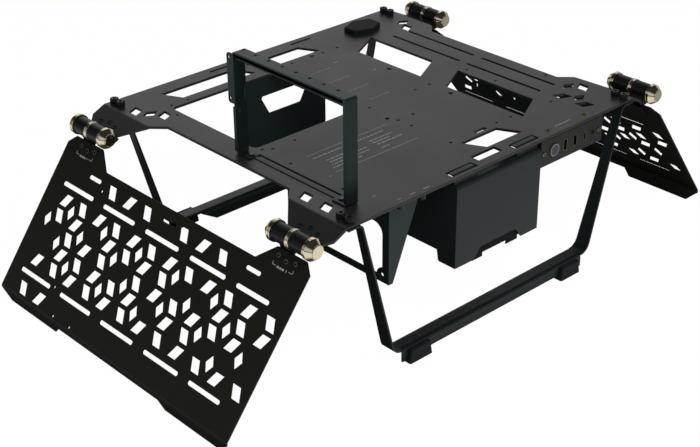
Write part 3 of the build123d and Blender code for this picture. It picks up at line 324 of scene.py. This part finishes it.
draw = np.random.default_rng(7)
plate_top = round(1000.0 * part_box("base_plate")[1][2], 3)
block_rules = [(-146.4, -58.6, 117.0, 0.6), (-146.4, -105.8, 117.0, 0.6)]
board_lines = (102.0, 69.0, 36.0, 3.0)
board_rules = [(3.0, y, 27.0, 0.5) for y in board_lines]
rule_dots = [(31.0, y, 1.6, 1.6) for y in board_lines]
small_line_height = 1.5
small_lines = [(-144.3, -41.1, -67.2), (-135.8, -108.0, -79.5), (-136.5, -84.0, -85.0), (-139.0, -88.0, -91.0),
               (-143.0, -97.0, -97.0), (-73.6, -36.0, -77.0), (-73.0, -46.0, -82.5), (-72.0, -32.0, -88.0),
               (-74.0, -57.0, -97.0), (-101.0, -86.0, -91.5), (98.0, 131.0, -188.0)]
hole_marks = [(47.0, 110.0, 6.0, 1.2), (64.0, 61.0, 6.0, 1.2), (-159.0, -109.0, 3.0, 1.2),
              (-158.0, -170.5, 4.0, 1.2), (-145.0, -192.0, 5.0, 1.0), (-128.0, -193.0, 7.0, 1.0),
              (-110.3, -193.3, 9.0, 1.0)]
dashed = [dashes(start, end, y, small_line_height, draw) for start, end, y in small_lines]
marks = np.concatenate([np.array(block_rules + board_rules + rule_dots + hole_marks)] + dashed)
plate_ink = ink("plate_ink", (0.27, 0.28, 0.28))
print_shape = ink_strips(marks, (0, 0, plate_top / 1000.0), (1, 0, 0), (0, 1, 0), (0, 0, 1))
new_piece("plate_print", [print_shape], plate_ink, "frame")


# Legs: two steel straps bent to a hoop, flattened to a flange along the floor and screwed under the
# plate, with the same coat as the plate in a deeper, colder black.
strap_coat = powder_coat("strap_coat", (0.0042, 0.0061, 0.0059), roughness=0.42, gloss=0.39, tone=(0.85, 1, 1))
finish(strap_coat, "front_leg", "back_leg")


# Feet: four blocks pushed over the flanges of the legs, one near each end. They are moulded in black
# rubber, matt and a little coarser in grain than the paint.
rubber = powder_coat("foot_rubber", (0.0060, 0.0085, 0.0085), roughness=0.62, gloss=0.2,
                     grain=0.0009, edge=0.0012, tone=(0.8, 1, 1))
for side in ("left", "right"):
    for end in ("front", "back"):
        finish(rubber, f"foot_{side}_{end}")


# Leg screws: eight turned thumb screws, black, 10 mm across, two at each corner. The heads are fluted
# all round and have a deep socket; the shanks go through plate and leg.
def turned(profile, places, axis, steps=64, flutes=0, depth=None):
    """Turned copies: each (radius, height) of the profile goes round the axis in equal steps, and the
    radius is cut by depth times the rounded wave (0.5 - 0.5 cos(flutes * angle)); one copy per place.
    The round starts at right angles to a slanting direction that no axis here follows."""
    profile = np.asarray(profile, float) / 1000.0
    places = np.asarray(places, float) / 1000.0
    axis = np.asarray(axis, float)
    aslant = (0.31, 0.57, 0.76)
    side = np.cross(axis, aslant)
    side /= np.linalg.norm(side)
    front = np.cross(axis, side)
    angle = np.linspace(0, 2 * np.pi, steps, endpoint=False)
    cut = np.zeros(len(profile)) if depth is None else np.asarray(depth, float) / 1000.0
    radius = profile[:, :1] - cut[:, None] * (0.5 - 0.5 * np.cos(flutes * angle))
    ring = np.cos(angle)[:, None] * side + np.sin(angle)[:, None] * front
    one = radius[:, :, None] * ring + profile[:, 1, None, None] * axis
    points = places[:, None, None, :] + one
    rows = np.arange(len(profile) - 1)[:, None] * steps
    now = np.arange(steps)
    following = (now + 1) % steps
    quads = np.stack([rows + now, rows + following, rows + steps + following, rows + steps + now], -1)
    quads = quads.reshape(-1, 4) + len(profile) * steps * np.arange(len(places))[:, None, None]
    return points, quads


def turned_metal(name, colour, metallic, roughness, axis, gloss=0.5, marks_depth=0.03):
    """Turned metal: fine waves along the axis as tool marks, and a slow noise that dulls it by touch."""
    paint, tree, shader, place = bare_paint(name)
    shader.inputs["Base Color"].default_value = (*colour, 1)
    shader.inputs["Metallic"].default_value = metallic
    shader.inputs["Specular IOR Level"].default_value = gloss
    touch = noise(tree, place, scale=160.0, detail=4.0)
    clean, handled = roughness * 0.8, roughness * 1.35
    dull = fade(tree, touch, start=0.35, end=0.75, before=clean, after=handled, run="LINEAR")
    tree.links.new(dull, shader.inputs["Roughness"])
    marks = tree.nodes.new("ShaderNodeTexWave")
    marks.bands_direction = axis
    marks.inputs["Scale"].default_value = 900.0
    marks.inputs["Distortion"].default_value = 0.6
    tree.links.new(place, marks.inputs["Vector"])
    bump = bumped(tree, marks.outputs["Fac"], strength=marks_depth, distance=0.00005)
    tree.links.new(bump.outputs["Normal"], shader.inputs["Normal"])
    return paint


up = (0, 0, 1)
screw_black = turned_metal("screw_black", (0.0060, 0.0066, 0.0066), metallic=0.0, roughness=0.28, axis="Z", gloss=0.34)
leg_screw_places = [(x, y, plate_top) for x in (-210.0, 210.0) for y in (-193.5, -181.5, 181.5, 193.5)]
leg_screw = [(0, -6), (2, -6), (2, 0), (4.3, 0), (4.6, 0.3), (4.6, 0.9), (5, 1.2), (5, 5.3), (4.8, 6.0),
             (4.4, 6.35), (3.7, 6.5), (2.4, 6.4), (2.0, 6.1), (1.9, 3.6), (0, 3.2)]
flute_depths = [0, 0, 0, 0, 0, 0, 0.9, 0.9, 1.0, 1.1, 1.0, 0.3, 0, 0, 0]
leg_screw_shape = turned(leg_screw, leg_screw_places, up, steps=96, flutes=12, depth=flute_depths)
thumb_screws = new_piece("thumb_screws", [leg_screw_shape], screw_black, "frame")
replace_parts(thumb_screws, "leg_screws")


# Wings: two folded steel sheets with fan slots and a pattern of slanted cells, near-black and a little
# rougher than the plate. Each tab of the left one carries two printed corner ticks and a few dashes.
def slope(degrees, side):
    """Two directions on a sheet that slopes down to the left (side -1) or the right (side 1): down the
    sheet, (side cos, 0, -sin) of its angle, and straight off it, (side sin, 0, cos)."""
    angle = math.radians(degrees)
    down = np.array((side * math.cos(angle), 0, -math.sin(angle)))
    off = np.array((side * math.sin(angle), 0, math.cos(angle)))
    return down, off


hinge_x, hinge_z = 260.3, 181.4
wing_angle, wing_face_drop = 52.0, 10.1
tab_middles = (-165.7, 169.0)
wing_coat = powder_coat("wing_coat", (0.0050, 0.0054, 0.0035), roughness=0.46, gloss=0.25, tone=(1, 1, 0.85))
finish(wing_coat, "left_wing", "right_wing")
down_wing, off_wing = slope(wing_angle, -1)
wing_face = (np.array((-hinge_x, 0, hinge_z)) - wing_face_drop * off_wing) / 1000.0
tab_ticks = [(10.2, 30.2, 5.5, 0.7), (15.0, 28.8, 0.7, 3.2), (-13.5, 30.2, 5.2, 0.7), (-14.0, 28.6, 0.7, 3.4)]
tab_dashes = [(5.2, 30.8, 3.2, 2.2), (1.6, 30.8, 3.0, 2.2), (-2.2, 30.8, 3.2, 2.2), (-5.6, 30.6, 1.0, 2.2)]
tab_marks = np.array(tab_ticks + tab_dashes)
tab_marks = np.concatenate([tab_marks + (middle, 0, 0, 0) for middle in tab_middles])
tab_ink = ink("tab_ink", (0.38, 0.40, 0.44))
tab_shape = ink_strips(tab_marks, wing_face, (0, 1, 0), down_wing, off_wing)
new_piece("wing_tab_print", [tab_shape], tab_ink, "left_wing")


# Hinges: black sleeves on two leaves, a turned ring between them and a turned cap at each end. Ring
# and caps are polished and plated a warm, pale gold chrome; steel pins hold them in line.
hinge_middles = (("front", -170.7), ("back", 164.0))
sleeve_coat = powder_coat("sleeve_coat", (0.0050, 0.0052, 0.0055), roughness=0.33, gloss=0.18,
                          grain=0.0006, edge=0.0004)
warm_chrome = turned_metal("warm_chrome", (0.78, 0.70, 0.52), metallic=1.0, roughness=0.07, axis="Y",
                           marks_depth=0.004)
pin_steel = turned_metal("pin_steel", (0.55, 0.55, 0.54), metallic=1.0, roughness=0.28, axis="Y")
cap = [(0, 23.05), (10.2, 23.05), (11.2, 23.2), (11.55, 23.6), (11.55, 24.4), (10.5, 24.7), (10.5, 25.1),
       (11.55, 25.4), (11.6, 27.3), (11.5, 27.8), (11.15, 28.25), (7.5, 33.5), (7.2, 33.6), (6.85, 33.2),
       (6.8, 34.0), (6.55, 34.2), (0, 34.2)]
ring = [(0, -2.5), (9.8, -2.5), (10.5, -2.3), (10.7, -1.9), (10.7, -1.2), (10.3, -0.8), (10.3, 0.8),
        (10.7, 1.2), (10.7, 1.9), (10.5, 2.3), (9.8, 2.5), (0, 2.5)]
chrome_steps, chrome_crease = 96, 12
for side, x in (("left", -hinge_x), ("right", hinge_x)):
    for end, y in hinge_middles:
        hinge = f"hinge_{side}_{end}_"
        finish(sleeve_coat, hinge + "plate_leaf", hinge + "wing_leaf")
        finish(pin_steel, hinge + "pin")
        middle = [(x, y, hinge_z)]
        cap_shapes = [turned(cap, middle, (0, way, 0), chrome_steps) for way in (-1, 1)]
        caps = new_piece(hinge + "turned_caps", cap_shapes, warm_chrome, "frame", chrome_crease)
        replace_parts(caps, hinge + "caps")
        ring_shape = turned(ring, middle, (0, 1, 0), chrome_steps)
        middle_ring = new_piece(hinge + "turned_ring", [ring_shape], warm_chrome, "frame",
                                chrome_crease)
        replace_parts(middle_ring, hinge + "ring")


# Hinge screws: three flat socket screws through each ear and each wing tab into the leaves of the
# hinge, black on the ears and dark bronze on the wings.
def socket_screw(length):
    """Profile of a flat-headed screw, 5.8 mm across: shank, low head, socket."""
    return [(0, -length), (1.5, -length), (1.5, 0), (2.6, 0), (2.9, 0.2), (2.8, 0.5), (2.3, 0.6), (1.5, 0.6),
            (1.35, 0.5), (1.25, -0.6), (0, -0.7)]


def in_threes(corner, down, drops):
    """Three points at each tab: corner + down * drop, moved along Y by the tab's middle and an offset."""
    return [np.array(corner) + down * drop + (0, middle + off, 0) for middle in tab_middles for drop, off in drops]


ear_crease_x, ear_angle = 219.5, 25.0
ear_drops = ((20.0, -12.6), (17.0, 0.0), (20.0, 12.6))
tab_drops = ((20.0, -12.3), (22.3, 0.0), (20.0, 12.3))
ear_screw, tab_screw = socket_screw(5.5), socket_screw(4.3)
small_steps = 32
ear_shapes = []
for side in (-1, 1):
    down, out = slope(ear_angle, side)
    places = in_threes((side * ear_crease_x, 0, plate_top), down, ear_drops)
    ear_shapes.append(turned(ear_screw, places, out, small_steps))
ear_heads = new_piece("ear_socket_screws", ear_shapes, screw_black, "frame")
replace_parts(ear_heads, "ear_screws")
screw_bronze = turned_metal("screw_bronze", (0.15, 0.14, 0.13), metallic=1.0, roughness=0.22, axis="Z")
for name, side in (("left_wing", -1), ("right_wing", 1)):
    down, out = slope(wing_angle, side)
    places = in_threes((side * hinge_x, 0, hinge_z), down, tab_drops)
    heads = turned(tab_screw, [place - out * wing_face_drop for place in places], out, small_steps)
    tab_heads = new_piece(name + "_socket_screws", [heads], screw_bronze, name)
    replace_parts(tab_heads, name + "_screws")


# Card frame: a steel strap bent round the card slots, its top rail drilled at the card pitch, black
# with a cold tone. Three screws hold its feet to the plate, three more hang from the rail.
frame_coat = powder_coat("frame_coat", (0.0052, 0.0085, 0.0085), roughness=0.42, gloss=0.34, tone=(0.78, 1, 1))
finish(frame_coat, "card_frame")
finish(screw_black, "card_frame_screws")


# Sheets under the plate: the side bracket with its gusset, the rear panel and the rail beside the
# right openings, all bent steel in the same black coat, screwed to the plate.
finish(frame_coat, "side_bracket", "hanging_panel", "drive_rail")
finish(screw_black, "side_bracket_screws", "hanging_panel_screws")


# Power supply cover: thin steel sheet, folded and hooked into two slots of the plate, in a satin coat.
# Its cradle is a bent tray between the walls, in a matt black painted darker than the cover as painted shade of the
# recess behind the cut-out.
cover_coat = powder_coat("cover_coat", (0.0060, 0.0092, 0.0092), roughness=0.42, gloss=0.29, tone=(0.86, 1, 1))
finish(cover_coat, "power_supply_cover")
# Painted shade: the cradle's darker colour stands for the shade inside the recess, and its low gloss keeps it matt.
cradle_shade_coat = powder_coat("cradle_shade_coat", (0.0050, 0.0070, 0.0068), roughness=0.6, gloss=0.06)
finish(cradle_shade_coat, "power_supply_cradle")


# Port panel: a folded sheet under the front edge with a dark green circuit board behind it. Two long
# brass eyelets rivet it to the plate, a short one sits at the right edge, and two screws of dull tin
# hold the board.
panel_coat = powder_coat("panel_coat", (0.0095, 0.0095, 0.0080), roughness=0.45, gloss=0.27)
finish(panel_coat, "port_panel")
board_green = powder_coat("board_green", (0.01, 0.03, 0.02), roughness=0.5, gloss=0.4)
finish(board_green, "port_board")
brass = turned_metal("dull_brass", (0.22, 0.155, 0.08), metallic=1.0, roughness=0.36, axis="Z")
eyelet = [(1.5, 0), (2.2, 0), (2.4, 0.25), (2.3, 0.6), (1.9, 0.8), (1.5, 0.75), (1.2, 0.4), (1.1, -1.8), (0, -2.0)]
long_eyelet = [(0, -4.2), (1.5, -4.2)] + eyelet
short_eyelet = [(0, -3.0), (1.5, -3.0)] + eyelet
panel_eyelets = [(85.0, -188.5, plate_top), (146.0, -188.5, plate_top)]
edge_eyelet = [(201.5, -87.0, plate_top)]
eyelets = [turned(long_eyelet, panel_eyelets, up, small_steps), turned(short_eyelet, edge_eyelet, up, small_steps)]
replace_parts(new_piece("brass_eyelets", eyelets, brass, "frame"), "rivets")
forward = (0, -1, 0)
panel_face, panel_middle = -199.0, 170.0
tin = turned_metal("dull_tin", (0.24, 0.21, 0.14), metallic=1.0, roughness=0.38, axis="Z")
panel_screw = [(0, -4.2), (1.5, -4.2), (1.5, 0), (2.3, 0), (2.6, 0.2), (2.5, 0.6), (2.1, 0.95), (1.5, 1.0),
               (1.2, 0.9), (1.0, 0.4), (0.9, -0.4), (0, -0.5)]
panel_screw_places = [(x, panel_face, panel_middle) for x in (68.5, 161.5)]
panel_screw_shape = turned(panel_screw, panel_screw_places, forward, small_steps)
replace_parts(new_piece("panel_screws", [panel_screw_shape], tin, "frame"), "port_screws")


# Ports: two tall and one small shell of tinned sheet with a contact tongue inside, and a black audio
# jack, all soldered to the board.
finish(tin, "usb_a_ports", "usb_c_port")
jack_plastic = powder_coat("jack_plastic", (0.006, 0.006, 0.006), roughness=0.5, gloss=0.3, grain=0.0003, edge=0.0003)
finish(jack_plastic, "audio_jack")


# Power button: a round cap of dark blue-grey plastic that slides in a hole of the panel, with a pale
# plastic ring let into its face.
button_x, button_face = 85.0, -200.4
button_plastic = powder_coat("button_plastic", (0.02, 0.024, 0.028), roughness=0.4, gloss=0.5,
                             grain=0.0003, edge=0.0004)
finish(button_plastic, "power_button")
ring_plastic = powder_coat("ring_plastic", (0.24, 0.27, 0.31), roughness=0.4, gloss=0.5, grain=0.0003, edge=0.0001)
button_ring = [(6.3, -0.2), (6.9, -0.2), (6.9, 0.05), (6.8, 0.12), (6.4, 0.12), (6.3, 0.05), (6.3, -0.2)]
button_ring_shape = turned(button_ring, [(button_x, button_face, panel_middle)], forward)
new_piece("button_ring", [button_ring_shape], ring_plastic, "power_button")


# Puck: a low six-sided block with rounded corners and a bevelled rim that lies loose on the plate,
# moulded in dark matt plastic.
puck_plastic = powder_coat("puck_plastic", (0.0068, 0.0092, 0.0092), roughness=0.55, gloss=0.06,
                           grain=0.0006, edge=0.0008)
finish(puck_plastic, "puck")
